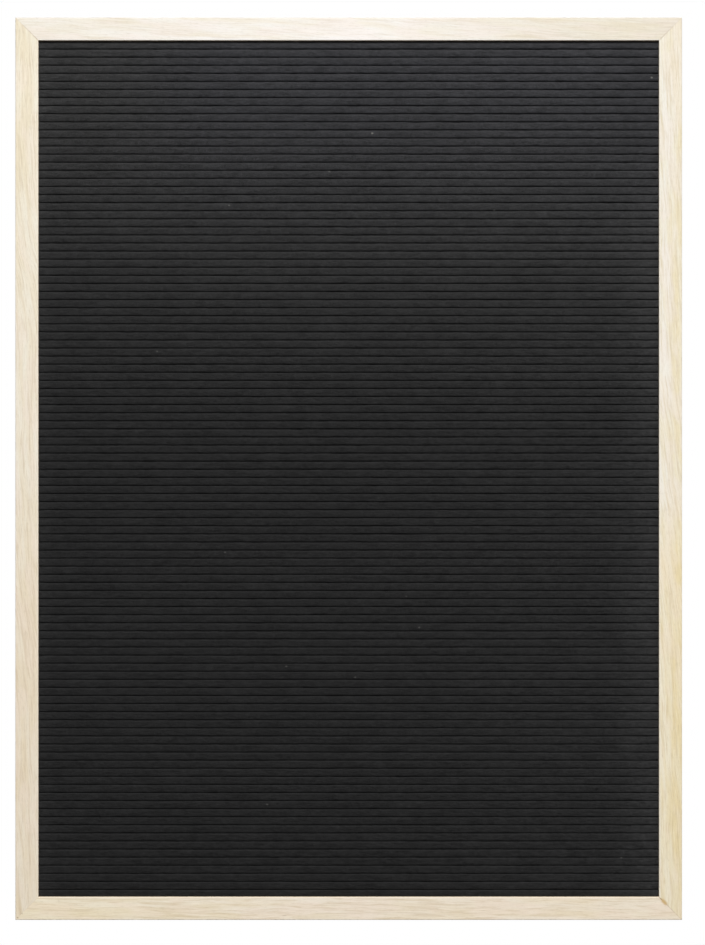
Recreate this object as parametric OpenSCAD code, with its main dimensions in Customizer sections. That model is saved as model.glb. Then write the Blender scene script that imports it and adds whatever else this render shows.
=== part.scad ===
// Wall-hung letter board: black felt tucked between slats, in a mitred oak frame.
// X runs across the board and Z up it. Y runs through it, towards the wall, whose face is y = 0.
// The front of the board faces -Y, and the origin is behind the board's middle, on the wall.

/* [Board] */
// Overall width of the frame
board_w = 523; // [300:1:900]
// Overall height of the frame
board_h = 708; // [420:1:1200]

/* [Frame] */
// Width of a frame member, seen from the front
member_w = 18; // [17:0.5:30]
// Depth of a frame member, front to back
member_d = 20; // [19:0.5:32]
// Depth of the lip that stands in front of the felt
lip_d = 3; // [2:0.5:6.5]
// Width of the rebate behind the lip
rebate_w = 6; // [5:0.5:7]
// Radius of the two eased edges on the front
front_edge_r = 0.7; // [0.4:0.1:1.2]
// Radius of the eased outer edge at the back
back_edge_r = 0.6; // [0.2:0.1:1.2]
// Gap between what lies in the rebate and the rebate's walls
panel_gap = 0.5; // [0.3:0.1:0.8]

/* [Felt panel] */
// Distance from one letter groove to the next
groove_pitch = 6.35; // [5.5:0.05:9]
// Width of a letter groove, between its two felt walls
groove_w = 0.9; // [0.6:0.1:1.5]
// Height of the lowest visible groove above the bottom rail
first_groove = 5.2; // [4:0.1:6]
// Thickness of the felt
felt_t = 0.9; // [0.5:0.1:1.1]
// Thickness of the glue between the felt and what it covers
glue_t = 0.05; // [0.02:0.01:0.1]
// Thickness of a slat, front to back
slat_d = 4; // [3:0.5:5.5]
// Radius of a slat's front edges
slat_edge_r = 0.3; // [0.1:0.1:0.6]
// Thickness of the board that carries the slats
slat_board_t = 3; // [2:0.5:4.5]
// Width of the felt hem that is turned over the back of that board
hem_w = 15; // [8:1:40]
// Thickness of the back cover
cover_t = 2.5; // [2:0.5:4]

/* [Retaining points] */
// Number of points along each stile, below the hanger
stile_points = 5; // [2:1:9]
// Number of points along each rail
rail_points = 4; // [2:1:9]
// Width of a point
point_w = 6; // [4:0.5:9]
// Thickness of a point
point_t = 0.5; // [0.3:0.1:0.8]
// Length of a point that lies on the back cover
point_out = 8; // [5:0.5:14]
// Length of a point that is driven into the frame
point_in = 4.5; // [3:0.5:5]
// Distance from a rail to the nearest points on a stile
point_margin = 60; // [40:1:90]

/* [Corner nails] */
// Length of each leg of a V-nail
v_nail_leg = 5; // [3:0.5:8]
// Thickness of a V-nail
v_nail_t = 0.6; // [0.4:0.1:0.8]
// Height of a V-nail, which is how deep it goes
v_nail_h = 10; // [6:0.5:12]
// Depth to which a V-nail is sunk below the wood
v_nail_sink = 0.3; // [0:0.1:1]
// Distance of the outer V-nail from the two outer faces of its corner
v_nail_inset = 4.5; // [3:0.5:5]
// Distance between the two V-nails of a corner, across each member
v_nail_step = 4.5; // [3:0.5:5]

/* [Hangers] */
// Distance from the top of the frame down to the pivot of a ring
hanger_drop = 110; // [70:1:180]
// Distance from the outer face of the stile to the middle of a hanger
hanger_inset = 7.5; // [7.5:0.5:8]
// Width of a strap
strap_w = 7.5; // [6:0.1:7.8]
// Thickness of one leaf of a strap
strap_t = 0.7; // [0.5:0.1:0.8]
// Slit between the two leaves of a strap
strap_slit = 0.1; // [0.05:0.05:0.2]
// Diameter of the wire of a ring
wire_d = 1.8; // [1.4:0.1:2]
// Overall width of a ring
ring_w = 13; // [12.7:0.1:13.5]
// Distance from the pivot to the middle of the wire at the far end of a ring
ring_reach = 8.6; // [8:0.1:9.5]
// Radius at which the wire is bent beside the strap
ring_bend_r = 1.4; // [1.2:0.1:1.5]
// Running clearance round the wire in its eye
pivot_gap = 0.08; // [0.03:0.01:0.1]
// Gap between a ring that hangs down and its strap
ring_rest_gap = 0.2; // [0.1:0.1:0.5]
// Distance from the pivot down to the screw
screw_drop = 14; // [13.5:0.5:18]

/* [Screws] */
// Diameter of the shank
screw_d = 2.6; // [2:0.1:3]
// Length below the head
screw_l = 12; // [8:0.5:14]
// Length of the tapered tip
screw_tip = 3; // [1:0.5:4]
// Diameter of the head
screw_head_d = 5.4; // [4.5:0.1:6]
// Height of the head
screw_head_h = 1.6; // [1.4:0.1:1.7]
// Width of the cross recess in the head
recess_w = 0.7; // [0.5:0.1:1]
// Length of the cross recess in the head
recess_l = 3; // [2:0.1:3.5]
// Depth of the cross recess in the head
recess_d = 0.9; // [0.5:0.1:1.2]

/* [Bumpers] */
// Diameter of a bumper
bumper_d = 9; // [7:0.5:10]
// Height of a bumper, which is the distance from the frame to the wall
bumper_h = 3.5; // [3.5:0.1:5]
// Radius of a bumper's rim
bumper_rim_r = 1; // [0.5:0.1:1.5]
// Distance from the top or bottom of the frame to the middle of a bumper
bumper_inset = 32; // [26:1:45]

/* [Hidden] */
$fn = 48;

// Clearance round a nail, a point or a screw in its hole in the wood
drive_gap = 0.05;
// Clearance of the screw in the hole of its strap
strap_hole_gap = 0.3;
// Straight pieces in a quarter of a bend of the felt
bend_steps = 3;
// Overlap with which one shape cuts through another
over = 1;
// Radius at the very point of a screw
screw_point_r = 0.1;
// Width of the straight rim round a screw's domed head
head_rim = 0.1;

// The opening that is seen inside the frame
sight_w = board_w - 2 * member_w;
sight_h = board_h - 2 * member_w;
// The flat back of a member, beside its rebate
land_w = member_w - rebate_w;

// Planes through the board, from the front to the wall
back_y = -bumper_h;
front_y = back_y - member_d;
crown_y = front_y + lip_d;
slat_y = crown_y + felt_t + glue_t;
slat_board_y = slat_y + slat_d;
hem_y = slat_board_y + slat_board_t + glue_t;
cover_y = hem_y + felt_t;
point_y = cover_y + cover_t;

// What lies in the rebate: the back cover, and the felt panel with its felt
filling_w = sight_w + 2 * (rebate_w - panel_gap);
filling_h = sight_h + 2 * (rebate_w - panel_gap);
// Felt and glue together
skin_t = felt_t + glue_t;
// The slats and their board reach this far above and below the middle
slat_top = filling_h / 2 - skin_t;

// Least height of an end slat, which is trimmed to the panel
end_slat_min = 1;

// Grooves, counted from the lowest visible one, and their heights
groove_gap = groove_w + 2 * skin_t;
lowest_groove_z = first_groove - sight_h / 2;
groove_from = ceil((groove_gap / 2 + end_slat_min - slat_top - lowest_groove_z) / groove_pitch);
groove_to = floor((slat_top - groove_gap / 2 - end_slat_min - lowest_groove_z) / groove_pitch);
function groove_z(i) = lowest_groove_z + i * groove_pitch;

// Each slat as its lower and upper edge. The first and the last are trimmed to the panel.
slat_low = concat([-slat_top], [for (i = [groove_from:groove_to]) groove_z(i) + groove_gap / 2]);
slat_high = concat([for (i = [groove_from:groove_to]) groove_z(i) - groove_gap / 2], [slat_top]);
slat_last = len(slat_low) - 1;

// Hanger: the pivot of the ring and the lean of the ring that rests on its strap
wire_r = wire_d / 2;
eye_r = wire_r + pivot_gap;
eye_out_r = eye_r + strap_t;
hanger_x = board_w / 2 - hanger_inset;
pivot_y = back_y + eye_out_r;
pivot_z = board_h / 2 - hanger_drop;
strap_thick = 2 * strap_t + strap_slit;
ring_lean = asin((strap_thick + wire_r + ring_rest_gap - eye_out_r) / ring_reach);

// Points on a stile run from below the hanger to above the bottom rail, and one sits above it
stile_point_low = point_margin - sight_h / 2;
stile_point_high = pivot_z - screw_drop - 2 * screw_head_d - point_w;
stile_point_top = (pivot_z + sight_h / 2) / 2;
stile_point_step = (stile_point_high - stile_point_low) / (stile_points - 1);
stile_point_z = concat(
    [for (i = [0:stile_points - 1]) stile_point_low + i * stile_point_step],
    [stile_point_top]
);
rail_point_step = sight_w / rail_points;
rail_point_x = [for (i = [0:rail_points - 1]) (i + 0.5) * rail_point_step - sight_w / 2];

// Turns a shape drawn in X and Y into the plane of the board, X and Z, with height h from y = 0 back
module upright(h) rotate([90, 0, 0]) translate([0, 0, -h]) linear_extrude(h) children();

// Turns a profile drawn as [y, z] into a bar of length l along X, about the board's middle
module along_x(l) rotate([90, 0, 90]) translate([0, 0, -l / 2]) linear_extrude(l) children();

// What a quarter round of radius r takes off the corner at the origin of the first quadrant
module corner_waste(r) {
    difference() {
        translate([-over, -over]) square(r + over);
        translate([r, r]) circle(r);
    }
}

// Section of a frame member as [depth from the front, distance down from its outer face]
module member_section() {
    difference() {
        translate([0, -member_w]) square([member_d, member_w]);
        translate([lip_d, -member_w - over]) square([member_d, rebate_w + over]);
        mirror([0, 1]) corner_waste(front_edge_r);
        translate([0, -member_w]) corner_waste(front_edge_r);
        translate([member_d, 0]) rotate(180) corner_waste(back_edge_r);
    }
}

// A member of the given length with its outer face on z = 0, mitred at both ends
module member(l) {
    translate([0, front_y, 0]) intersection() {
        along_x(l) member_section();
        upright(member_d) polygon([
            [-l / 2, 0], [l / 2, 0], [l / 2 - member_w, -member_w], [member_w - l / 2, -member_w]
        ]);
    }
}

// One V-nail, with its apex towards the corner at the origin and its legs along +X and -Z
module v_nail(h, gap) {
    half = v_nail_t / 2 + gap;
    tip = v_nail_leg + gap;
    upright(h) polygon([
        [-half, half], [tip, half], [tip, -half], [half, -half], [half, -tip], [-half, -tip]
    ]);
}

// The two V-nails of one corner. sx and sz are -1 or 1 and pick the corner.
module v_nail_pair(sx, sz, h = v_nail_h, gap = 0) {
    foot = v_nail_h + v_nail_sink + gap;
    for (i = [0:1]) {
        inset = v_nail_inset + i * v_nail_step;
        translate([sx * (board_w / 2 - inset), back_y - foot, sz * (board_h / 2 - inset)])
            to_corner(sx, sz) v_nail(h, gap);
    }
}

// The slots that the two nails leave in the wood, open at the back where they were driven in
module v_nail_slots(sx, sz) {
    v_nail_pair(sx, sz, v_nail_h + v_nail_sink + drive_gap + over, drive_gap);
}

// Mirrors what is drawn for the top left corner to another corner
module to_corner(sx, sz) {
    mirror([sx > 0 ? 1 : 0, 0, 0]) mirror([0, 0, sz < 0 ? 1 : 0]) children();
}

// One retaining point, driven towards +Z from a rebate wall at z = 0
module point(gap = 0) {
    half = point_w / 2 + gap;
    shoulder = point_in - point_w / 2;
    translate([0, point_y - gap, 0]) upright(point_t + 2 * gap) polygon([
        [-half, -point_out], [half, -point_out], [half, shoulder], [0, point_in + 2 * gap], [-half, shoulder]
    ]);
}

module stile_point_row(gap = 0) {
    wall = board_w / 2 - land_w;
    for (z = stile_point_z) translate([wall, 0, z]) rotate([0, 90, 0]) point(gap);
}

module rail_point_row(gap = 0) {
    wall = board_h / 2 - land_w;
    for (x = rail_point_x) translate([x, 0, wall]) point(gap);
}

// A hanger's screw, with the underside of its head on the strap
module screw(gap = 0) {
    shank_r = screw_d / 2 + gap;
    neck = screw_l - screw_tip;
    rotate([90, 0, 0]) {
        translate([0, 0, -gap]) cylinder(r = shank_r, h = neck + gap);
        translate([0, 0, neck]) cylinder(r1 = shank_r, r2 = gap + screw_point_r, h = screw_tip + gap);
    }
}

module screw_head() {
    head_r = screw_head_d / 2;
    dome_r = (head_r * head_r + screw_head_h * screw_head_h) / (2 * screw_head_h);
    rotate([-90, 0, 0]) difference() {
        intersection() {
            cylinder(r = head_r - head_rim, h = screw_head_h);
            translate([0, 0, screw_head_h - dome_r]) sphere(dome_r);
        }
        for (turn = [0, 90]) rotate(turn)
            translate([-recess_l / 2, -recess_w / 2, screw_head_h - recess_d])
                cube([recess_l, recess_w, recess_d + over]);
    }
}

// Moves what is drawn about a ring's pivot to the right or left hanger
module at_hanger(side) translate([side * hanger_x, pivot_y, pivot_z]) children();

module hanger_screw_place() translate([0, strap_thick - eye_out_r, -screw_drop]) children();

// The wood of the stile on the right, seen from the front
module right_stile_wood() {
    difference() {
        rotate([0, 90, 0]) translate([0, 0, board_w / 2]) member(board_h);
        stile_point_row(drive_gap);
        for (sz = [-1, 1]) v_nail_slots(1, sz);
        at_hanger(1) hanger_screw_place() screw(drive_gap);
    }
}

module rail_wood(sz) {
    difference() {
        mirror([0, 0, sz < 0 ? 1 : 0]) difference() {
            translate([0, 0, board_h / 2]) member(board_w);
            rail_point_row(drive_gap);
        }
        for (sx = [-1, 1]) v_nail_slots(sx, sz);
    }
}

// A slat's front edge as a quarter bend. off is how far out from the slat the line runs.
function bend(cy, cz, from, off) = [
    for (i = [0:bend_steps]) let (a = from + 90 * i / bend_steps)
        [cy - (slat_edge_r + off) * sin(a), cz - (slat_edge_r + off) * cos(a)]
];

// The line over the front of one slat, from its lower to its upper edge, as [y, z]
function over_slat(low, high, off) = concat(
    bend(slat_y + slat_edge_r, low + slat_edge_r, 0, off),
    bend(slat_y + slat_edge_r, high - slat_edge_r, 90, off)
);

// The line down into the groove above slat i and across its floor
function groove_floor(i, off) = i == slat_last ? [] : [
    [slat_board_y - off, slat_high[i] + off],
    [slat_board_y - off, slat_low[i + 1] - off]
];

// The whole line of the felt, from the hem at the bottom to the hem at the top
function felt_line(off) =
    let (back = slat_board_y + slat_board_t + off, end = slat_top + off)
    concat(
        [[back, hem_w - end], [back, -end]],
        [for (i = [0:slat_last]) each concat(over_slat(slat_low[i], slat_high[i], off), groove_floor(i, off))],
        [[back, end], [back, end - hem_w]]
    );

function backwards(list) = [for (i = [len(list) - 1:-1:0]) list[i]];

module felt() {
    color([0.07, 0.07, 0.075])
        along_x(filling_w) polygon(concat(felt_line(skin_t), backwards(felt_line(glue_t))));
}

// A slat that reaches from low to high
module slat(low, high) {
    color([0.72, 0.6, 0.44]) translate([0, 0, low]) along_x(filling_w) polygon(concat(
        [[slat_board_y, 0]],
        over_slat(0, high - low, 0),
        [[slat_board_y, high - low]]
    ));
}

module slats() for (i = [1:slat_last - 1]) slat(slat_low[i], slat_high[i]);

module bottom_end_slat() slat(slat_low[0], slat_high[0]);

module top_end_slat() slat(slat_low[slat_last], slat_high[slat_last]);

// A plain board in the rebate, with its front at y
module board(w, h, y, t) translate([-w / 2, y, -h / 2]) cube([w, t, h]);

module slat_board() color([0.45, 0.33, 0.22]) board(filling_w, 2 * slat_top, slat_board_y, slat_board_t);

module back_cover() color([0.5, 0.37, 0.25]) board(filling_w, filling_h, cover_y, cover_t);

module right_stile() color([0.91, 0.86, 0.77]) right_stile_wood();

module left_stile() mirror([1, 0, 0]) right_stile();

module top_rail() color([0.94, 0.91, 0.84]) rail_wood(1);

module bottom_rail() color([0.88, 0.83, 0.74]) rail_wood(-1);

module v_nails(sx, sz) color([0.6, 0.6, 0.62]) v_nail_pair(sx, sz);

module points_right() color([0.25, 0.25, 0.26]) stile_point_row();

module points_left() mirror([1, 0, 0]) points_right();

module points_top() color([0.25, 0.25, 0.26]) rail_point_row();

module points_bottom() mirror([0, 0, 1]) points_top();

// A strap of one strip, folded round the ring's wire into an eye, with both leaves screwed down
module hanger_strap(side) {
    leaf_l = screw_drop + strap_w / 2;
    color([0.78, 0.78, 0.8]) at_hanger(side) difference() {
        intersection() {
            along_x(strap_w) difference() {
                union() {
                    circle(eye_out_r);
                    translate([-eye_out_r, -leaf_l]) square([strap_t, leaf_l]);
                    translate([strap_t + strap_slit - eye_out_r, -leaf_l]) square([strap_t, leaf_l]);
                }
                circle(eye_r);
            }
            union() {
                translate([-strap_w / 2, -eye_out_r - over, -screw_drop])
                    cube([strap_w, 2 * (eye_out_r + over), screw_drop + eye_out_r + over]);
                translate([0, -eye_out_r - over, -screw_drop]) rotate([-90, 0, 0])
                    cylinder(d = strap_w, h = 2 * (eye_out_r + over));
            }
        }
        translate([0, -eye_out_r - over, -screw_drop]) rotate([-90, 0, 0])
            cylinder(d = screw_d + 2 * strap_hole_gap, h = strap_thick + 2 * over);
    }
}

// A quarter turn of the wire, in the plane of the ring
module wire_bend(r, from, sweep) {
    rotate(from) rotate_extrude(angle = sweep) translate([r, 0]) circle(wire_r);
}

// The D-shaped ring, drawn with its bar along X on the pivot and its arc towards +Y
module ring_shape() {
    half = ring_w / 2 - wire_r;
    bar = half - ring_bend_r;
    arc_at = ring_reach - half;
    translate([-bar, 0, 0]) rotate([0, 90, 0]) cylinder(r = wire_r, h = 2 * bar);
    for (s = [-1, 1]) {
        translate([s * bar, ring_bend_r, 0]) wire_bend(ring_bend_r, s > 0 ? -90 : 180, 90);
        translate([s * half, ring_bend_r, 0]) rotate([-90, 0, 0])
            cylinder(r = wire_r, h = arc_at - ring_bend_r);
    }
    translate([0, arc_at, 0]) wire_bend(half, 0, 180);
}

// A ring as it hangs from its eye, leaning on the strap
module hanger_ring(side) {
    color([0.8, 0.8, 0.82]) at_hanger(side) rotate([ring_lean - 90, 0, 0]) ring_shape();
}

module hanger_screw(side) {
    color([0.75, 0.75, 0.77]) at_hanger(side) hanger_screw_place() {
        screw();
        screw_head();
    }
}

// A rubber bumper on the back of a stile, near a corner
module bumper(sx, sz) {
    r = bumper_d / 2;
    color([0.35, 0.35, 0.36])
        translate([sx * (board_w / 2 - land_w / 2), back_y, sz * (board_h / 2 - bumper_inset)])
            rotate([-90, 0, 0]) rotate_extrude() difference() {
                square([r, bumper_h]);
                translate([r, bumper_h]) rotate(180) corner_waste(bumper_rim_r);
            }
}

left_stile();
right_stile();
top_rail();
bottom_rail();
v_nails(-1, 1);  // v_nails_top_left
v_nails(1, 1);  // v_nails_top_right
v_nails(-1, -1);  // v_nails_bottom_left
v_nails(1, -1);  // v_nails_bottom_right
felt();
slats();
bottom_end_slat();
top_end_slat();
slat_board();
back_cover();
points_left();
points_right();
points_top();
points_bottom();
hanger_strap(-1);  // left_hanger_strap
hanger_strap(1);  // right_hanger_strap
hanger_ring(-1);  // left_hanger_ring
hanger_ring(1);  // right_hanger_ring
hanger_screw(-1);  // left_hanger_screw
hanger_screw(1);  // right_hanger_screw
bumper(-1, 1);  // bumper_top_left
bumper(1, 1);  // bumper_top_right
bumper(-1, -1);  // bumper_bottom_left
bumper(1, -1);  // bumper_bottom_right
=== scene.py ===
# Letter board: black felt tucked into level grooves, in a mitred frame of pale limed oak.
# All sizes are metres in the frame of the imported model: X across, Z up, the front faces -Y.

import math

import bpy
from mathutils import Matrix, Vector, noise


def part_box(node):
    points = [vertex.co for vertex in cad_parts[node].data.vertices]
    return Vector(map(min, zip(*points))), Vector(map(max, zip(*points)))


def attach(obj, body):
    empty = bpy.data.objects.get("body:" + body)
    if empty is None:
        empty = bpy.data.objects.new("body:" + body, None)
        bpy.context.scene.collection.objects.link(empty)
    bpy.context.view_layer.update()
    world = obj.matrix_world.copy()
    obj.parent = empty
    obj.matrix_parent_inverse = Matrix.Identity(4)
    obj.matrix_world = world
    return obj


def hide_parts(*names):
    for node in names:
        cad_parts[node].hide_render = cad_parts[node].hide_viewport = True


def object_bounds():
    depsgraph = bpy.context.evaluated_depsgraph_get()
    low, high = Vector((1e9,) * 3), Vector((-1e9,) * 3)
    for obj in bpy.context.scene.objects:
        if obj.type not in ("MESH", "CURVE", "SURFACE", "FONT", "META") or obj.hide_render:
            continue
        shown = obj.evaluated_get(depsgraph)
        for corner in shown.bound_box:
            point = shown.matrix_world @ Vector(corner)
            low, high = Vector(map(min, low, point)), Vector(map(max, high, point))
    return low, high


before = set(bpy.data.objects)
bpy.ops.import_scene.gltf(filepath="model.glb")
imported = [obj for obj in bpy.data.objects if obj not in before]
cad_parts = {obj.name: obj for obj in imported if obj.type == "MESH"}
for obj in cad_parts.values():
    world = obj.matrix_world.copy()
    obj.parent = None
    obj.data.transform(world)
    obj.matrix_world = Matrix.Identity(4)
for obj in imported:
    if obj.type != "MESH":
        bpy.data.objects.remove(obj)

cad_low, cad_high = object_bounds()

# Camera: square on to the board, from about two metres.
# The board's edges in the picture give the scale and the small offset from the picture's middle.
PICTURE_W, PICTURE_H = 705, 945
EDGE_LEFT, EDGE_RIGHT, EDGE_TOP, EDGE_BOTTOM = 15.9, 681.5, 17.4, 920.0
CAMERA_TO_FRONT = 2.0
SENSOR = 0.036

metres_per_pixel = (cad_high.z - cad_low.z) / (EDGE_BOTTOM - EDGE_TOP)
board_right_of_middle = ((EDGE_LEFT + EDGE_RIGHT) / 2 - PICTURE_W / 2) * metres_per_pixel
board_below_middle = ((EDGE_TOP + EDGE_BOTTOM) / 2 - PICTURE_H / 2) * metres_per_pixel

camera = bpy.data.objects.new("camera", bpy.data.cameras.new("camera"))
bpy.context.scene.collection.objects.link(camera)
bpy.context.scene.camera = camera
camera.location = (-board_right_of_middle, cad_low.y - CAMERA_TO_FRONT, board_below_middle)
camera.rotation_euler = (math.radians(90), 0, 0)
camera.data.sensor_width = SENSOR * 1000
camera.data.lens = SENSOR * 1000 * CAMERA_TO_FRONT / (PICTURE_H * metres_per_pixel)
camera.data.clip_start, camera.data.clip_end = 0.05, 50


# Studio: a white floor well below the board, a big soft lamp above the camera, a small one far
# to the right, one behind for the back, and an even, dim room. The camera sees the room as white.
FLOOR_BELOW = 0.25
FLOOR_SIZE = 24
FLOOR_GREY, FLOOR_BOUNCE = 0.85, 0.25
SHADOW_SHARE = 0.28
SHADOW_NEAR, SHADOW_FAR = 0.35, 0.75
ROOM_STRENGTH = 0.24
# name, place, side of the square lamp, watts
LAMPS = [
    ("key_lamp", (0.25, -3.5, 2.7), 1.1, 205.0),
    ("side_lamp", (2.3, -1.6, -0.3), 0.9, 4.0),
    ("back_lamp", (0.6, 2.6, 1.7), 1.4, 92.0),
]


def add(tree, kind, inputs=None, **settings):
    """Adds a node. inputs holds values, or sockets to link, by the input's name or number."""
    node = tree.nodes.new(kind)
    for name, value in settings.items():
        setattr(node, name, value)
    for name, value in (inputs or {}).items():
        if isinstance(value, bpy.types.NodeSocket):
            tree.links.new(value, node.inputs[name])
        else:
            node.inputs[name].default_value = value
    return node


def calc(tree, operation, *values):
    return add(tree, "ShaderNodeMath", dict(enumerate(values)), operation=operation).outputs[0]


def ramp(tree, factor, low, high, out_low=0.0, out_high=1.0):
    """Turns factor from low..high into out_low..out_high, with soft ends."""
    return add(tree, "ShaderNodeMapRange", {0: factor, 1: low, 2: high, 3: out_low, 4: out_high},
               interpolation_type="SMOOTHSTEP").outputs[0]


def new_material(name):
    material = bpy.data.materials.new(name)
    material.use_nodes = True
    material.node_tree.nodes.clear()
    return material, material.node_tree


def grey(level):
    return level, level, level, 1


# The floor shows the board's shadow near its foot, and fades into the white room further out
floor_material, tree = new_material("studio_floor")
eye = add(tree, "ShaderNodeLightPath").outputs["Is Camera Ray"]
place = add(tree, "ShaderNodeSeparateXYZ", {0: add(tree, "ShaderNodeTexCoord").outputs["Object"]})
foot = calc(tree, "SQRT", calc(tree, "ADD", calc(tree, "POWER", place.outputs[0], 2.0),
                               calc(tree, "POWER", place.outputs[1], 2.0)))
shown = ramp(tree, foot, SHADOW_NEAR, SHADOW_FAR, SHADOW_SHARE, 0.0)
matt = add(tree, "ShaderNodeBsdfDiffuse", {"Color": grey(FLOOR_BOUNCE)})
shadowed = add(tree, "ShaderNodeBsdfDiffuse", {"Color": grey(FLOOR_GREY)})
white = add(tree, "ShaderNodeEmission", {"Color": grey(1.0), "Strength": 1.0})
seen = add(tree, "ShaderNodeMixShader", {0: shown, 1: white.outputs[0], 2: shadowed.outputs[0]})
mixed = add(tree, "ShaderNodeMixShader", {0: eye, 1: matt.outputs[0], 2: seen.outputs[0]})
add(tree, "ShaderNodeOutputMaterial", {"Surface": mixed.outputs[0]})

floor_mesh = bpy.data.meshes.new("studio_floor")
half = FLOOR_SIZE / 2
corners = [(-half, -half), (half, -half), (half, half), (-half, half)]
floor_mesh.from_pydata([(x, y, cad_low.z - FLOOR_BELOW) for x, y in corners], [], [(0, 1, 2, 3)])
floor = bpy.data.objects.new("studio_floor", floor_mesh)
floor.data.materials.append(floor_material)
bpy.context.scene.collection.objects.link(floor)

world = bpy.data.worlds.new("studio_room")
bpy.context.scene.world = world
world.use_nodes = True
tree = world.node_tree
tree.nodes.clear()
eye = add(tree, "ShaderNodeLightPath").outputs["Is Camera Ray"]
room = add(tree, "ShaderNodeBackground", {"Color": grey(1.0), "Strength": ROOM_STRENGTH})
backdrop = add(tree, "ShaderNodeBackground", {"Color": grey(1.0), "Strength": 1.0})
mixed = add(tree, "ShaderNodeMixShader", {0: eye, 1: room.outputs[0], 2: backdrop.outputs[0]})
add(tree, "ShaderNodeOutputWorld", {"Surface": mixed.outputs[0]})

for name, place, side, watts in LAMPS:
    lamp = bpy.data.objects.new(name, bpy.data.lights.new(name, "AREA"))
    bpy.context.scene.collection.objects.link(lamp)
    lamp.data.shape = "SQUARE"
    lamp.data.size = side
    lamp.data.energy = watts
    lamp.location = place
    lamp.rotation_mode = "QUATERNION"
    lamp.rotation_quaternion = (-Vector(place)).to_track_quat("-Z", "Y")
    lamp.visible_camera = False

bpy.context.scene.view_settings.view_transform = "Standard"


# Oak members: four lengths of square moulding, mitred, glued and pinned from behind.
# Limed oak: cream, with short brown-grey streaks that lean a little off the member's length.
MM = 1000
MEMBER_W = 0.018
# upright: runs up the board. lean: how far the streaks drift per length. cream, tan: its two hues.
# slants: where they drift more, from, to and by how much.
# figure: how strong its streaks are. outer: how much yellower its outer half is.
# low_end, high_end: the tint of its two ends. reach: how far from its middle each tint is full.
# joints: how dark its two mitre lines are. seed: its place in the noise.
MEMBERS = {
    "top_rail": dict(
        upright=False, lean=0.06, slants=[], cream=(0.795, 0.765, 0.725), tan=(0.76, 0.70, 0.595),
        figure=0.6, outer=0.1, low_end=(0.965, 0.955, 0.91), high_end=(0.895, 0.872, 0.80),
        reach=(0.26, 0.20), joints=(0.55, 0.40), seed=3.1),
    "bottom_rail": dict(
        upright=False, lean=0.02, slants=[], cream=(0.815, 0.735, 0.62), tan=(0.775, 0.67, 0.505),
        figure=1.0, outer=0.1, low_end=(1.0, 1.0, 0.93), high_end=(0.98, 0.97, 0.94),
        reach=(0.26, 0.26), joints=(0.12, 0.9), seed=8.7),
    "left_stile": dict(
        upright=True, lean=0.035, slants=[(0.11, 0.23, 0.014), (-0.19, -0.04, 0.010)],
        cream=(0.785, 0.73, 0.625), tan=(0.745, 0.655, 0.50),
        figure=1.0, outer=0.1, low_end=(0.99, 0.955, 0.912), high_end=(0.985, 0.985, 0.95),
        reach=(0.13, 0.35), joints=(0.12, 0.55), seed=1.9),
    "right_stile": dict(
        upright=True, lean=0.05, slants=[(-0.21, 0.13, 0.021)],
        cream=(0.785, 0.745, 0.66), tan=(0.75, 0.66, 0.465),
        figure=0.9, outer=0.5, low_end=(1.0, 0.96, 0.845), high_end=(0.955, 0.962, 0.968),
        reach=(0.075, 0.35), joints=(0.9, 0.40), seed=6.3),
}
# Size of the streaks, bands, pores and patches: twice across the grain and once along it, in millimetres
FINE_SIZE, STREAK_SIZE, BAND_SIZE = (0.75, 0.75, 16), (1.3, 1.3, 34), (5.0, 5.0, 60)
PORE_SIZE, PATCH_SIZE = (0.22, 0.22, 4.5), (9, 9, 26)
# How far the grain wanders to both sides, and how wide and long one bend is, in millimetres
WANDER, WANDER_ACROSS, WANDER_ALONG = 5.0, 30, 45
# Where the yellower outer half begins and is full, from the opening, in millimetres
YELLOW_FROM, YELLOW_FULL = 5, 14
MITRE_LINE = 0.00045
MITRE_BROWN = (0.36, 0.24, 0.12, 1)
PALE_ARRIS = 0.0007
# The wall of the opening is painted tan as painted shade, from where the front edge's rounding ends
WALL_SHADE_TAN = (0.66, 0.51, 0.34, 1)
FRONT_ROUND = 0.0007
# Dark specks in the wood: across, up, half length and half height, strength
SPECKS = [
    (-0.2597, -0.3522, 0.0011, 0.0008, 0.6),
    (-0.2562, -0.3490, 0.0009, 0.0008, 0.35),
    (-0.0505, -0.3506, 0.0028, 0.0004, 0.5),
]
# A brown stain along the inner half of the lower right mitre: across, up and radius
STAIN = (0.2475, -0.3400, 0.0042)
SPECK_BROWN, STAIN_BROWN = (0.30, 0.22, 0.14, 1), (0.56, 0.38, 0.16, 1)


def mix_colour(tree, factor, below, above, blend="MIX"):
    """below and above are colours or sockets; factor is a number or a socket."""
    return add(tree, "ShaderNodeMix", {0: factor, 6: below, 7: above},
               data_type="RGBA", blend_type=blend).outputs[2]


def stretch(tree, place, *sizes):
    """Divides place by the size of the features along each axis, so that they come out about 1."""
    return add(tree, "ShaderNodeVectorMath", {0: place, 1: tuple(1 / s for s in sizes)},
               operation="MULTIPLY").outputs[0]


def speckle(tree, place, detail=2.0, roughness=0.5, distortion=0.0):
    """Even noise from 0 to 1 whose features are about 1 wide at place."""
    return add(tree, "ShaderNodeTexNoise", {"Vector": place, "Scale": 1.0, "Detail": detail,
               "Roughness": roughness, "Distortion": distortion}, normalize=True).outputs[0]


def place_in_mm(tree):
    """Place on the board in millimetres."""
    coordinates = add(tree, "ShaderNodeTexCoord").outputs["Object"]
    return add(tree, "ShaderNodeVectorMath", {0: coordinates, 3: MM}, operation="SCALE").outputs[0]


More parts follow.
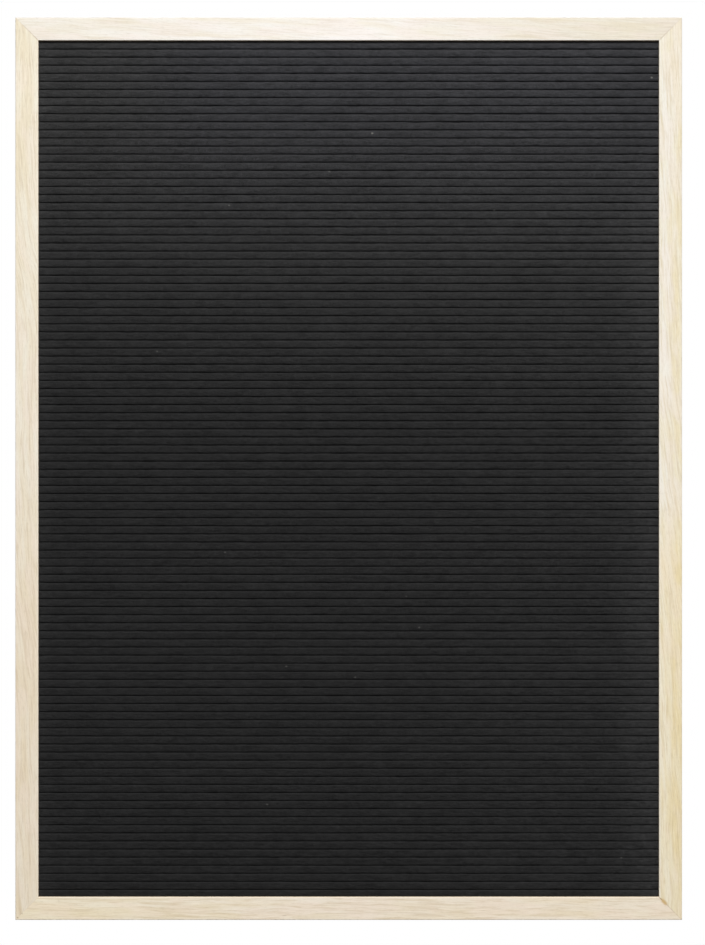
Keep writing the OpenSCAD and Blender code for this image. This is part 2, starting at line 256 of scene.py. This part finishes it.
def oval(tree, x, z, across, up, half_w, half_h):
    """1 in the middle of an oval mark on the front of the board, and 0 outside it."""
    dx = calc(tree, "DIVIDE", calc(tree, "SUBTRACT", x, across * MM), half_w * MM)
    dz = calc(tree, "DIVIDE", calc(tree, "SUBTRACT", z, up * MM), half_h * MM)
    squares = calc(tree, "ADD", calc(tree, "POWER", dx, 2.0), calc(tree, "POWER", dz, 2.0))
    return ramp(tree, calc(tree, "SQRT", squares), 0.3, 1.0, 1.0, 0.0)


def finish(tree, height, strength, distance, inputs):
    """Ends a material with its relief, its surface and its output."""
    bump = add(tree, "ShaderNodeBump", {"Height": height, "Strength": strength, "Distance": distance})
    surface = add(tree, "ShaderNodeBsdfPrincipled", {**inputs, "Normal": bump.outputs[0]})
    add(tree, "ShaderNodeOutputMaterial", {"Surface": surface.outputs[0]})


def oak(name, upright, lean, slants, cream, tan, figure, outer, low_end, high_end, reach, joints, seed):
    material, tree = new_material(name)
    spot = place_in_mm(tree)
    part = add(tree, "ShaderNodeSeparateXYZ", {0: spot}).outputs
    along, over = (part[2], part[0]) if upright else (part[0], part[2])

    # The grain leans, and wanders by a millimetre or two over every few centimetres
    slow = add(tree, "ShaderNodeCombineXYZ", {0: calc(tree, "MULTIPLY", over, 1 / WANDER_ACROSS),
               1: seed * 7, 2: calc(tree, "MULTIPLY", along, 1 / WANDER_ALONG)}).outputs[0]
    wander = calc(tree, "MULTIPLY", calc(tree, "SUBTRACT", speckle(tree, slow, 1.0), 0.5), WANDER)
    drift = calc(tree, "ADD", wander, calc(tree, "MULTIPLY", along, lean))
    for low, high, amount in slants:
        drift = calc(tree, "ADD", drift, ramp(tree, along, low * MM, high * MM, 0.0, amount * MM))
    grain = add(tree, "ShaderNodeCombineXYZ", {0: calc(tree, "ADD", over, drift),
                1: calc(tree, "ADD", part[1], seed * 53),
                2: calc(tree, "ADD", along, seed * 29)}).outputs[0]

    fine = speckle(tree, stretch(tree, grain, *FINE_SIZE), 2.0, 0.6)
    streak = speckle(tree, stretch(tree, grain, *STREAK_SIZE), 2.0, 0.5)
    band = speckle(tree, stretch(tree, grain, *BAND_SIZE), 2.0, 0.5)
    pore = speckle(tree, stretch(tree, grain, *PORE_SIZE), 3.0, 0.6)
    patch = speckle(tree, stretch(tree, grain, *PATCH_SIZE), 1.0, 0.5)

    # Colour: cream to tan in broad bands, then streaks, flecks of wax, fine pores and the ends' tints
    share = ramp(tree, band, 0.34, 0.66, 0.0, 0.75)
    edge = cad_high.x if upright else cad_high.z
    from_opening = calc(tree, "SUBTRACT", calc(tree, "ABSOLUTE", over), (edge - MEMBER_W) * MM)
    yellower = ramp(tree, from_opening, YELLOW_FROM, YELLOW_FULL, -outer * 0.4, outer)
    share = calc(tree, "ADD", share, yellower)
    colour = mix_colour(tree, share, (*cream, 1), (*tan, 1))
    rosy = (cream[0] * 1.01, cream[1] * 0.96, cream[2] * 0.96, 1)
    colour = mix_colour(tree, ramp(tree, patch, 0.45, 0.62, 0.0, 0.55), colour, rosy)
    dark = tuple(c * s for c, s in zip(tan, (0.80, 0.745, 0.68)))
    colour = mix_colour(tree, ramp(tree, streak, 0.50, 0.66, 0.0, 0.42 * figure), colour, (*dark, 1))
    colour = mix_colour(tree, ramp(tree, fine, 0.52, 0.70, 0.0, 0.50 * figure), colour, (*dark, 1))
    pale_cream = tuple(min(0.94, c * 1.08) for c in cream)
    colour = mix_colour(tree, ramp(tree, fine, 0.28, 0.44, 0.6 * figure, 0.0), colour, (*pale_cream, 1))
    colour = mix_colour(tree, ramp(tree, pore, 0.57, 0.64, 0.0, 0.30), colour,
                        tuple(c * 0.62 for c in dark) + (1,))
    for end, tint in ((-reach[0], low_end), (reach[1], high_end)):
        share = ramp(tree, calc(tree, "DIVIDE", along, end * MM), 0.0, 1.0)
        colour = mix_colour(tree, share, colour, (*tint, 1), "MULTIPLY")

    # Mitre lines that fade towards the outer corner, the pale inner arris, painted shade on the wall of the
    # opening, and marks
    x, z = calc(tree, "ABSOLUTE", part[0]), calc(tree, "ABSOLUTE", part[2])
    from_side = calc(tree, "SUBTRACT", cad_high.x * MM, x)
    from_end = calc(tree, "SUBTRACT", cad_high.z * MM, z)
    off_mitre = calc(tree, "ABSOLUTE", calc(tree, "SUBTRACT", from_side, from_end))
    line = ramp(tree, off_mitre, MITRE_LINE * MM * 0.4, MITRE_LINE * MM * 1.9, 1.0, 0.0)
    strength = calc(tree, "MULTIPLY", ramp(tree, along, -1, 1, joints[0], joints[1]),
                    ramp(tree, from_side, 3, MEMBER_W * MM - 2, 0.25, 1.0))
    worn = ramp(tree, speckle(tree, stretch(tree, spot, 3, 3, 3), 2.0, 0.6), 0.3, 0.7, 0.45, 1.1)
    line = calc(tree, "MULTIPLY", calc(tree, "MULTIPLY", line, strength), worn)
    inside = calc(tree, "MAXIMUM", calc(tree, "SUBTRACT", x, (cad_high.x - MEMBER_W) * MM),
                  calc(tree, "SUBTRACT", z, (cad_high.z - MEMBER_W) * MM))
    # The inner arris is made paler, in the same pale cream
    colour = mix_colour(tree, ramp(tree, inside, PALE_ARRIS * MM * 0.6, PALE_ARRIS * MM * 1.8, 0.55, 0.0),
                        colour, (*pale_cream, 1))
    colour = mix_colour(tree, line, colour, MITRE_BROWN)
    # Painted shade: the wall of the opening is painted a darker tan, where the lip's shade falls
    behind = calc(tree, "SUBTRACT", part[1], cad_low.y * MM)
    wall_shade = calc(tree, "MULTIPLY", ramp(tree, inside, 0.02, 0.10, 1.0, 0.0),
                ramp(tree, behind, FRONT_ROUND * MM * 0.8, FRONT_ROUND * MM * 1.1))
    colour = mix_colour(tree, wall_shade, colour, WALL_SHADE_TAN)
    for across, up, half_w, half_h, depth in SPECKS:
        mark = calc(tree, "MULTIPLY", oval(tree, part[0], part[2], across, up, half_w, half_h), depth)
        colour = mix_colour(tree, mark, colour, SPECK_BROWN)
    soaked = calc(tree, "MULTIPLY", oval(tree, part[0], part[2], STAIN[0], STAIN[1], STAIN[2], STAIN[2]),
                  ramp(tree, off_mitre, 0.6, 3.2, 0.85, 0.0))
    colour = mix_colour(tree, soaked, colour, STAIN_BROWN)

    relief = calc(tree, "SUBTRACT", calc(tree, "MULTIPLY", fine, -0.6), calc(tree, "MULTIPLY", pore, 0.5))
    finish(tree, relief, 0.35, 0.00015, {"Base Color": colour, "Specular IOR Level": 0.3,
           "Roughness": ramp(tree, streak, 0.3, 0.7, 0.50, 0.64)})
    return material


def dress(material, *nodes):
    """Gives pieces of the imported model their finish."""
    for node in nodes:
        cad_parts[node].material_slots[0].material = material


for node, look in MEMBERS.items():
    dress(oak(node + "_oak", **look), node)


# V-nails: two bent strips of bare steel across each mitre, pressed in from behind until they lie
# just under the wood. Rolling leaves fine lines along the strip, and handling a brown tarnish.
NAIL_STEEL = (0.46, 0.46, 0.47, 1)
TARNISH = (0.26, 0.20, 0.15, 1)

nail_material, tree = new_material("nail_steel_bare")
spot = place_in_mm(tree)
rolled = speckle(tree, stretch(tree, spot, 0.25, 6, 0.25), 2.0, 0.6)
tarnished = speckle(tree, stretch(tree, spot, 2.0, 2.0, 2.0), 3.0, 0.6)
finish(tree, rolled, 0.2, 0.00005, {"Metallic": 1.0, "Roughness": ramp(tree, rolled, 0.3, 0.7, 0.34, 0.52),
       "Base Color": mix_colour(tree, ramp(tree, tarnished, 0.5, 0.75, 0.0, 0.6), NAIL_STEEL, TARNISH)})
dress(nail_material, "v_nails_top_left", "v_nails_top_right", "v_nails_bottom_left", "v_nails_bottom_right")


# Slats: sawn lime wood, glued side by side on the slat board with a gap for each letter groove.
# Their ends and edges keep the fuzz and the cross marks of the saw.
LIME_PALE, LIME_BROWN = (0.66, 0.52, 0.34, 1), (0.50, 0.36, 0.20, 1)

slat_material, tree = new_material("slat_lime")
spot = place_in_mm(tree)
rings = speckle(tree, stretch(tree, spot, 70, 1.6, 1.6), 2.0, 0.5)
fibres = speckle(tree, stretch(tree, spot, 9, 0.25, 0.25), 2.0, 0.6)
saw_marks = speckle(tree, stretch(tree, spot, 0.8, 14, 14), 1.0, 0.5)
colour = mix_colour(tree, ramp(tree, rings, 0.35, 0.65), LIME_PALE, LIME_BROWN)
colour = mix_colour(tree, ramp(tree, fibres, 0.55, 0.75, 0.0, 0.5), colour, LIME_BROWN)
finish(tree, calc(tree, "ADD", fibres, calc(tree, "MULTIPLY", saw_marks, 0.7)), 0.4, 0.00015,
       {"Base Color": colour, "Specular IOR Level": 0.25,
        "Roughness": ramp(tree, fibres, 0.3, 0.7, 0.62, 0.8)})
dress(slat_material, "slats", "bottom_end_slat", "top_end_slat")


# Slat board: 3 mm hardboard that carries the slats. Pressed wood fibre, brown and smooth, with a
# fine mottle of darker chips.
HARDBOARD_BROWN, HARDBOARD_DARK = (0.235, 0.135, 0.070, 1), (0.13, 0.070, 0.035, 1)

hardboard, tree = new_material("hardboard_brown")
spot = place_in_mm(tree)
chips = speckle(tree, stretch(tree, spot, 1.6, 1.6, 1.6), 4.0, 0.65, 0.8)
clouds = speckle(tree, stretch(tree, spot, 40, 40, 40), 2.0, 0.5)
colour = mix_colour(tree, ramp(tree, chips, 0.45, 0.72, 0.0, 0.7), HARDBOARD_BROWN, HARDBOARD_DARK)
colour = mix_colour(tree, ramp(tree, clouds, 0.4, 0.7, 0.0, 0.3), colour, HARDBOARD_DARK)
finish(tree, chips, 0.25, 0.0001,
       {"Base Color": colour, "Roughness": ramp(tree, chips, 0.3, 0.7, 0.42, 0.6)})
dress(hardboard, "slat_board")


# Felt: one sheet of black wool felt, glued over the slats and pushed down into every groove.
# Its nap rounds each ridge and half closes the grooves, and it is hemmed round the back.
GROOVE_PITCH = 0.00635
GROOVE_W = 0.0009
LOWEST_GROOVE = 0.0052
GROOVE_DEPTH = 0.004
# No groove lies nearer than this to the sheet's lower or upper end
END_CLEAR = 0.003
FELT_T = 0.0009
HEM_W = 0.015
# How far the sheet's side edges reach under the lips of the stiles
UNDER_LIP = 0.0055
# How round the nap makes the edges of a ridge, how far its face bulges between them, and how much
# the nap narrows a groove from each side
RIDGE_ROUND = 0.0010
RIDGE_SAG = 0.00006
NAP = 0.00022
# How far the nap leaves the grooves open at the left end, at the right end, at the foot and at the top
OPEN_LEFT, OPEN_RIGHT, OPEN_FOOT, OPEN_TOP = 0.52, 0.80, 0.64, 0.82
# How much that changes slowly and raggedly along a groove, and what always stays open
OPEN_WANDER, OPEN_RAGGED = 0.30, 0.80
OPEN_LEAST = 0.3
# How much more the grooves close towards their left ends, and over what length
END_CLOSED, END_LENGTH = 0.22, 0.02
# How far the ridges stay behind the front of the sheet, so that none wanders past it
CROWN = 0.00002
ROUND_STEPS = 5
FACE_STEPS = 4
ACROSS_STEPS = 120
# How far the edges of the grooves and the faces of the ridges wander, and how near the groove's floor
# the walls are held still
LIP_WANDER = 0.00014
FACE_WANDER = 0.00005
WALL_HELD = 0.002
# A place where the felt was not pushed home and bridges its groove: left, right, height
BRIDGED = (-0.2434, -0.2306, 0.3169)
# How deep the bridge lies, what is too near the face to move, and over what length its ends rise
BRIDGE_DEEP, BRIDGE_SKIN, BRIDGE_RISE = 0.0006, 0.0004, 0.003
BRIDGE_TIGHT = 0.9
# Its black, and the cooler black of its upper part away from the left stile: from where to where
# that sets in, up and across
FELT_BLACK, FELT_COOL = (0.0121, 0.0121, 0.0122, 1), (0.0120, 0.0121, 0.0134, 1)
COOL_UP, COOL_ACROSS = (0.150, 0.320), (-0.210, -0.090)
# The share of that black which the patterns of the nap are added to
FELT_TONE = 0.65
# The nap lies flatter, so smoother, towards the top: how rough it is up to SMOOTH_FROM, and at the top
ROUGH_FOOT, ROUGH_TOP = 0.58, 0.42
SMOOTH_FROM = -0.050
# How much paler painted sheen makes the felt at the top, in its middle and at its sides, and at the right
PAINTED_SHEEN_TOP, PAINTED_SHEEN_TOP_SIDES, PAINTED_SHEEN_RIGHT = 1.10, 0.86, 0.19
# Where that painted sheen begins and is full: up, off the middle, and across
SHEEN_UP, SHEEN_SIDES, SHEEN_ACROSS = (0.0, 0.400), (0.080, 0.240), (-0.020, 0.250)
# How much paler it is beside the left and the right stile, over what width, and, at the right,
# between which heights that ends
PALER_BY_LEFT, PALER_BY_RIGHT = 0.25, 0.57
PALER_BY_LEFT_W, PALER_BY_RIGHT_W = 0.016, 0.045
PALER_BY_RIGHT_UP = (0.180, 0.280)
# Specks of pale lint: across, up, half length and half height, strength
LINT = [
    (0.2380, 0.3073, 0.0012, 0.0010, 0.9),
    (0.0185, 0.2635, 0.0013, 0.0010, 0.9),
    (-0.0939, 0.2069, 0.0010, 0.0009, 0.5),
    (-0.0153, 0.2337, 0.0012, 0.0009, 0.6),
    (0.1144, 0.2030, 0.0012, 0.0009, 0.6),
    (-0.1505, 0.0922, 0.0010, 0.0008, 0.35),
    (-0.0971, -0.0657, 0.0012, 0.0008, 0.35),
    (0.0554, -0.1247, 0.0011, 0.0009, 0.4),
    (0.0452, -0.1003, 0.0009, 0.0008, 0.3),
    (-0.0491, -0.1553, 0.0012, 0.0008, 0.4),
    (0.0051, -0.1639, 0.0010, 0.0009, 0.35),
    (-0.0640, -0.2638, 0.0011, 0.0008, 0.35),
    (0.2142, -0.3055, 0.0012, 0.0008, 0.5),
]
LINT_PALE = (0.15, 0.145, 0.135, 1)
# Patterns in the nap, from clouds and streaks where it was pressed down to fuzz: their size along
# x, y and z in millimetres, how much they darken and pale the felt, and their relief
NAP_LAYERS = [
    ((30, 30, 22), -0.08, 0.05, 0.0),
    ((26, 10, 3.0), -0.10, 0.12, 0.0),
    ((6, 6, 1.2), -0.29, 0.30, 0.3),
    ((2.2, 2.2, 2.2), -0.16, 0.18, 0.8),
    ((0.5, 0.5, 0.5), -0.18, 0.26, 0.5),
]
# Single hairs that curl over the felt: size of a curl in millimetres, how much paler, and relief
HAIRS = [(1.6, 1.0, 0.8), (0.9, 0.8, 0.6), (0.5, 0.6, 0.4)]
# How wide a hair is, as a share of the noise whose middle level it follows
HAIR_EDGE = 0.028

felt_low, felt_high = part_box("felt")
lowest_groove_z = cad_low.z + MEMBER_W + LOWEST_GROOVE
first = math.ceil((felt_low.z + END_CLEAR - lowest_groove_z) / GROOVE_PITCH)
last = math.floor((felt_high.z - END_CLEAR - lowest_groove_z) / GROOVE_PITCH)
groove_heights = [lowest_groove_z + i * GROOVE_PITCH for i in range(first, last + 1)]
floor_y = felt_low.y + GROOVE_DEPTH
back_y = felt_high.y
gap = GROOVE_W - 2 * NAP


def over_ridge(low, high):
    """The outer line over one ridge from its lower to its upper wall, as (y, z)."""
    line = []
    for centre, start in ((low + RIDGE_ROUND, 0), (high - RIDGE_ROUND, 90)):
        for step in range(ROUND_STEPS + 1):
            turn = math.radians(start + 90 * step / ROUND_STEPS)
            line.append((felt_low.y + RIDGE_ROUND * (1 - math.sin(turn)) + CROWN + RIDGE_SAG,
                         centre - RIDGE_ROUND * math.cos(turn)))
    face = []
    for step in range(1, FACE_STEPS):
        share = step / FACE_STEPS
        face.append((felt_low.y + CROWN + RIDGE_SAG * (2 * share - 1) ** 2,
                     low + RIDGE_ROUND + (high - low - 2 * RIDGE_ROUND) * share))
    return line[:ROUND_STEPS + 1] + face + line[ROUND_STEPS + 1:]


def felt_line():
    """The whole outer line of the felt, from the hem at the bottom to the hem at the top."""
    line = [(back_y, felt_low.z + HEM_W), (back_y, felt_low.z)]
    edges = [felt_low.z]
    for z in groove_heights:
        edges += [z - gap / 2, z + gap / 2]
    edges.append(felt_high.z)
    for low, high in zip(edges[::2], edges[1::2]):
        line += over_ridge(low, high)
        if high < edges[-1]:
            line += [(floor_y, high), (floor_y, high + gap)]
    return line + [(back_y, felt_high.z), (back_y, felt_high.z - HEM_W)]


def inner_line(line):
    """The glued side of the felt: the outer line moved in by the felt's thickness."""
    sides = []
    for start, end in zip(line, line[1:]):
        step = Vector((end[0] - start[0], end[1] - start[1])).normalized()
        sides.append(Vector((step.y, -step.x)))
    inner = []
    for (y, z), before, after in zip(line, sides[:1] + sides, sides + sides[-1:]):
        mean = (before + after).normalized()
        reach = FELT_T / mean.dot(before)
        inner.append((y + mean.x * reach, z + mean.y * reach))
    return inner


def waver(x, groove, waves, spacing, seed):
    """Noise from -1 to 1 along a groove. waves: how many to the metre. spacing: how far grooves differ."""
    return noise.noise(Vector((x * waves, groove * spacing, seed)))


def opening_at(x, z, groove):
    """How far the nap leaves a groove open at this place, as a share of its gap."""
    across = (x - felt_low.x) / (felt_high.x - felt_low.x)
    height = (z - felt_low.z) / (felt_high.z - felt_low.z)
    opening = OPEN_LEFT + (OPEN_RIGHT - OPEN_LEFT) * across
    opening *= OPEN_FOOT + (OPEN_TOP - OPEN_FOOT) * height
    opening += OPEN_WANDER * waver(x, groove, 14, 3.7, 6)
    opening += OPEN_RAGGED * waver(x, groove, 130, 4.1, 8)
    opening -= END_CLOSED * max(0.0, 1 - (x - felt_low.x - UNDER_LIP) / END_LENGTH)
    return max(OPEN_LEAST, opening)


def with_nap(x, y, z):
    """Where a point of the plain outer line comes to lie at x, with the nap and the bridged place."""
    free = min(1.0, max(0.0, (floor_y - y) / WALL_HELD))
    groove = round((z - lowest_groove_z) / GROOVE_PITCH)
    lip = waver(x, groove, 90, 5.3, 4) + 0.6 * waver(x, groove, 260, 5.3, 9)
    face = noise.noise(Vector((x * 120, z * 160, 2)))
    depth = y + free * max(face * FACE_WANDER, -CROWN / 2)
    off = z - (lowest_groove_z + groove * GROOVE_PITCH)
    near = max(0.0, 1 - (abs(off) - gap / 2) / RIDGE_ROUND)
    z += math.copysign(gap / 2, off) * (opening_at(x, z, groove) - 1) * near * free
    if abs(z - BRIDGED[2]) < GROOVE_PITCH / 2 and y > felt_low.y + BRIDGE_SKIN:
        bridge = max(0, min(1, (x - BRIDGED[0]) / BRIDGE_RISE, (BRIDGED[1] - x) / BRIDGE_RISE))
        depth += bridge * (felt_low.y + BRIDGE_DEEP - depth) * BRIDGE_TIGHT
    return x, depth, z + free * lip * LIP_WANDER


outer = felt_line()
inner = inner_line(outer)
count = len(outer)
columns = [felt_low.x + (felt_high.x - felt_low.x) * i / ACROSS_STEPS for i in range(ACROSS_STEPS + 1)]
points = [with_nap(x, y, z) for x in columns for y, z in outer]

# The outer face of the sheet, then its glued face, its two side edges and the edges of its two hems
faces = []
for i in range(ACROSS_STEPS):
    for j in range(count - 1):
        faces.append((i * count + j, (i + 1) * count + j, (i + 1) * count + j + 1, i * count + j + 1))
glued = len(points)
for x in (columns[0], columns[-1]):
    points += [(x, y, z) for y, z in inner]
end = ACROSS_STEPS * count
for j in range(count - 1):
    faces.append((glued + j, glued + j + 1, glued + count + j + 1, glued + count + j))
    faces.append((j, j + 1, glued + j + 1, glued + j))
    faces.append((end + j, glued + count + j, glued + count + j + 1, end + j + 1))
faces.append([glued, glued + count] + [i * count for i in range(ACROSS_STEPS, -1, -1)])
faces.append([glued + 2 * count - 1, glued + count - 1]
             + [i * count + count - 1 for i in range(ACROSS_STEPS + 1)])

felt_mesh = bpy.data.meshes.new("felt_sheet")
felt_mesh.from_pydata(points, [], faces)
felt_mesh.update()
felt = bpy.data.objects.new("felt_sheet", felt_mesh)
bpy.context.scene.collection.objects.link(felt)
for polygon in felt_mesh.polygons:
    polygon.use_smooth = True


def between(tree, place, low, high, out_low=0.0, out_high=1.0):
    """ramp for a place in millimetres, with its limits in metres."""
    return ramp(tree, place, low * MM, high * MM, out_low, out_high)


felt_material, tree = new_material("black_felt")
spot = place_in_mm(tree)
part = add(tree, "ShaderNodeSeparateXYZ", {0: spot}).outputs
tone, relief = FELT_TONE, 0.0
for size, darker, paler, depth in NAP_LAYERS:
    layer = speckle(tree, stretch(tree, spot, *size), 3.0, 0.65, 0.8)
    tone = calc(tree, "ADD", tone, ramp(tree, layer, 0.3, 0.7, darker, paler))
    relief = calc(tree, "ADD", relief, calc(tree, "MULTIPLY", layer, depth))
for size, paler, depth in HAIRS:
    curl = speckle(tree, stretch(tree, spot, size, size, size), 2.0, 0.5, 1.5)
    hair = ramp(tree, calc(tree, "ABSOLUTE", calc(tree, "SUBTRACT", curl, 0.5)), 0.0, HAIR_EDGE, 1.0, 0.0)
    tone = calc(tree, "ADD", tone, calc(tree, "MULTIPLY", hair, paler))
    relief = calc(tree, "ADD", relief, calc(tree, "MULTIPLY", hair, depth))
# Painted sheen: the felt is made paler towards the top and the right, where the lamps shine on the nap
sheen_at_top = calc(tree, "MULTIPLY", between(tree, part[2], *SHEEN_UP),
              between(tree, calc(tree, "ABSOLUTE", part[0]), *SHEEN_SIDES, PAINTED_SHEEN_TOP, PAINTED_SHEEN_TOP_SIDES))
sheen_and_pale_sides = calc(tree, "ADD", sheen_at_top, between(tree, part[0], *SHEEN_ACROSS, 1.0, 1.0 + PAINTED_SHEEN_RIGHT))
# The felt is also made paler in bands beside the left and the right stile
side = cad_high.x - MEMBER_W
by_left = between(tree, part[0], -side, PALER_BY_LEFT_W - side, PALER_BY_LEFT, 0.0)
by_right = between(tree, part[0], side - PALER_BY_RIGHT_W, side, 0.0, PALER_BY_RIGHT)
by_right = calc(tree, "MULTIPLY", by_right, between(tree, part[2], *PALER_BY_RIGHT_UP, 1.0, 0.0))
sheen_and_pale_sides = calc(tree, "ADD", sheen_and_pale_sides, calc(tree, "ADD", by_left, by_right))
cool = calc(tree, "MULTIPLY", between(tree, part[2], *COOL_UP), between(tree, part[0], *COOL_ACROSS))
black = mix_colour(tree, cool, FELT_BLACK, FELT_COOL)
colour = add(tree, "ShaderNodeVectorMath", {0: black, 3: calc(tree, "MULTIPLY", tone, sheen_and_pale_sides)},
             operation="SCALE").outputs[0]
for across, up, half_w, half_h, depth in LINT:
    mark = calc(tree, "MULTIPLY", oval(tree, part[0], part[2], across, up, half_w, half_h), depth)
    colour = mix_colour(tree, mark, colour, LINT_PALE)
rough = between(tree, part[2], SMOOTH_FROM, cad_high.z, ROUGH_FOOT, ROUGH_TOP)
finish(tree, relief, 0.35, 0.00015, {"Base Color": colour, "Roughness": rough, "Specular IOR Level": 0.10,
       "Sheen Weight": 0.02, "Sheen Roughness": 0.5, "Sheen Tint": (0.8, 0.8, 0.84, 1)})
felt.data.materials.append(felt_material)

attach(felt, "board")
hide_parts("felt")


# Back cover: 2.5 mm raw fibreboard, laid over the hem of the felt to close the back. Its face is
# even and pale brown, with short fibres lying all ways and faint rubs from stacking.
FIBREBOARD, FIBRE_DARK, FIBRE_PALE = (0.40, 0.255, 0.145, 1), (0.27, 0.16, 0.085, 1), (0.50, 0.35, 0.22, 1)

cover_material, tree = new_material("fibreboard_raw")
spot = place_in_mm(tree)
fibres = speckle(tree, stretch(tree, spot, 0.8, 0.8, 3.0), 4.0, 0.7, 1.5)
crossed = speckle(tree, stretch(tree, spot, 3.0, 0.8, 0.8), 4.0, 0.7, 1.5)
clouds = speckle(tree, stretch(tree, spot, 70, 70, 50), 3.0, 0.55)
rubs = speckle(tree, stretch(tree, spot, 120, 20, 2.5), 2.0, 0.5)
colour = mix_colour(tree, ramp(tree, fibres, 0.50, 0.72, 0.0, 0.55), FIBREBOARD, FIBRE_DARK)
colour = mix_colour(tree, ramp(tree, crossed, 0.52, 0.74, 0.0, 0.55), colour, FIBRE_PALE)
colour = mix_colour(tree, ramp(tree, clouds, 0.42, 0.66, 0.0, 0.28), colour, FIBRE_DARK)
colour = mix_colour(tree, ramp(tree, rubs, 0.66, 0.74, 0.0, 0.35), colour, FIBRE_PALE)
finish(tree, calc(tree, "ADD", fibres, crossed), 0.25, 0.0001,
       {"Base Color": colour, "Specular IOR Level": 0.3,
        "Roughness": ramp(tree, rubs, 0.5, 0.75, 0.74, 0.55)})
dress(cover_material, "back_cover")


# Glazier's points: thin blades of blackened spring steel, shot into the rebate and lying on the
# back cover. The black coat is rubbed through to grey in places.
BLACKENED, RUBBED_STEEL = (0.030, 0.030, 0.033, 1), (0.30, 0.30, 0.31, 1)

point_material, tree = new_material("point_steel_black")
spot = place_in_mm(tree)
worn = speckle(tree, stretch(tree, spot, 1.4, 1.4, 1.4), 4.0, 0.7)
grained = speckle(tree, stretch(tree, spot, 0.3, 0.3, 0.3), 2.0, 0.6)
finish(tree, grained, 0.25, 0.00004, {"Metallic": 0.9, "Roughness": ramp(tree, worn, 0.4, 0.7, 0.5, 0.34),
       "Base Color": mix_colour(tree, ramp(tree, worn, 0.60, 0.74, 0.0, 0.7), BLACKENED, RUBBED_STEEL)})
dress(point_material, "points_left", "points_right", "points_top", "points_bottom")


# Hangers: a strap of zinc-plated steel folded round the ring, one screw through both leaves into
# the stile, and a ring of nickel-plated wire that lies flat or swings up to the hook.
ZINC, ZINC_DULL = (0.62, 0.64, 0.66, 1), (0.44, 0.45, 0.46, 1)
NICKEL, NICKEL_SMUDGED = (0.74, 0.72, 0.68, 1), (0.58, 0.56, 0.52, 1)
TURNED_PITCH = 0.0002

strap_material, tree = new_material("strap_zinc")
spot = place_in_mm(tree)
spangle = speckle(tree, stretch(tree, spot, 0.9, 0.9, 0.9), 3.0, 0.6, 1.0)
brushed = speckle(tree, stretch(tree, spot, 0.12, 0.5, 5), 2.0, 0.6)
finish(tree, brushed, 0.2, 0.00003, {"Metallic": 1.0,
       "Roughness": ramp(tree, spangle, 0.35, 0.7, 0.30, 0.46),
       "Base Color": mix_colour(tree, ramp(tree, spangle, 0.42, 0.68), ZINC, ZINC_DULL)})
dress(strap_material, "left_hanger_strap", "right_hanger_strap")

for node in ("left_hanger_screw", "right_hanger_screw"):
    screw_material, tree = new_material(node + "_zinc")
    low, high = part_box(node)
    middle = (low + high) / 2 * MM
    spot = place_in_mm(tree)
    off = add(tree, "ShaderNodeVectorMath", {0: spot, 1: tuple(middle)}, operation="SUBTRACT").outputs[0]
    flat_off = add(tree, "ShaderNodeVectorMath", {0: off, 1: (1, 0, 1)}, operation="MULTIPLY").outputs[0]
    radius = add(tree, "ShaderNodeVectorMath", {0: flat_off}, operation="LENGTH").outputs[1]
    turned = calc(tree, "SINE", calc(tree, "MULTIPLY", radius, 2 * math.pi / (TURNED_PITCH * MM)))
    dulled = speckle(tree, stretch(tree, spot, 0.8, 0.8, 0.8), 3.0, 0.6)
    finish(tree, turned, 0.12, 0.00001, {"Metallic": 1.0,
           "Roughness": ramp(tree, dulled, 0.35, 0.7, 0.26, 0.44),
           "Base Color": mix_colour(tree, ramp(tree, dulled, 0.45, 0.7, 0.0, 0.8), ZINC, ZINC_DULL)})
    dress(screw_material, node)

ring_material, tree = new_material("ring_nickel")
spot = place_in_mm(tree)
smudge = speckle(tree, stretch(tree, spot, 2.5, 2.5, 2.5), 3.0, 0.6)
drawn = speckle(tree, stretch(tree, spot, 0.2, 0.2, 0.2), 2.0, 0.5)
finish(tree, drawn, 0.1, 0.00002, {"Metallic": 1.0, "Roughness": ramp(tree, smudge, 0.35, 0.7, 0.14, 0.30),
       "Base Color": mix_colour(tree, ramp(tree, smudge, 0.45, 0.72, 0.0, 0.7), NICKEL, NICKEL_SMUDGED)})
dress(ring_material, "left_hanger_ring", "right_hanger_ring")


# Bumpers: four domed pads of grey rubber, stuck on behind the corners to keep the board off the
# wall. Matt, a little dusty, with a fine moulded grain.
RUBBER_GREY, RUBBER_DUST = (0.105, 0.105, 0.110, 1), (0.20, 0.195, 0.185, 1)

rubber, tree = new_material("bumper_rubber")
spot = place_in_mm(tree)
grain = speckle(tree, stretch(tree, spot, 0.25, 0.25, 0.25), 2.0, 0.6)
dust = speckle(tree, stretch(tree, spot, 2.2, 2.2, 2.2), 4.0, 0.7)
finish(tree, grain, 0.3, 0.00004, {"Roughness": ramp(tree, dust, 0.4, 0.7, 0.62, 0.82),
       "Base Color": mix_colour(tree, ramp(tree, dust, 0.45, 0.75, 0.0, 0.6), RUBBER_GREY, RUBBER_DUST)})
dress(rubber, "bumper_top_left", "bumper_top_right", "bumper_bottom_left", "bumper_bottom_right")
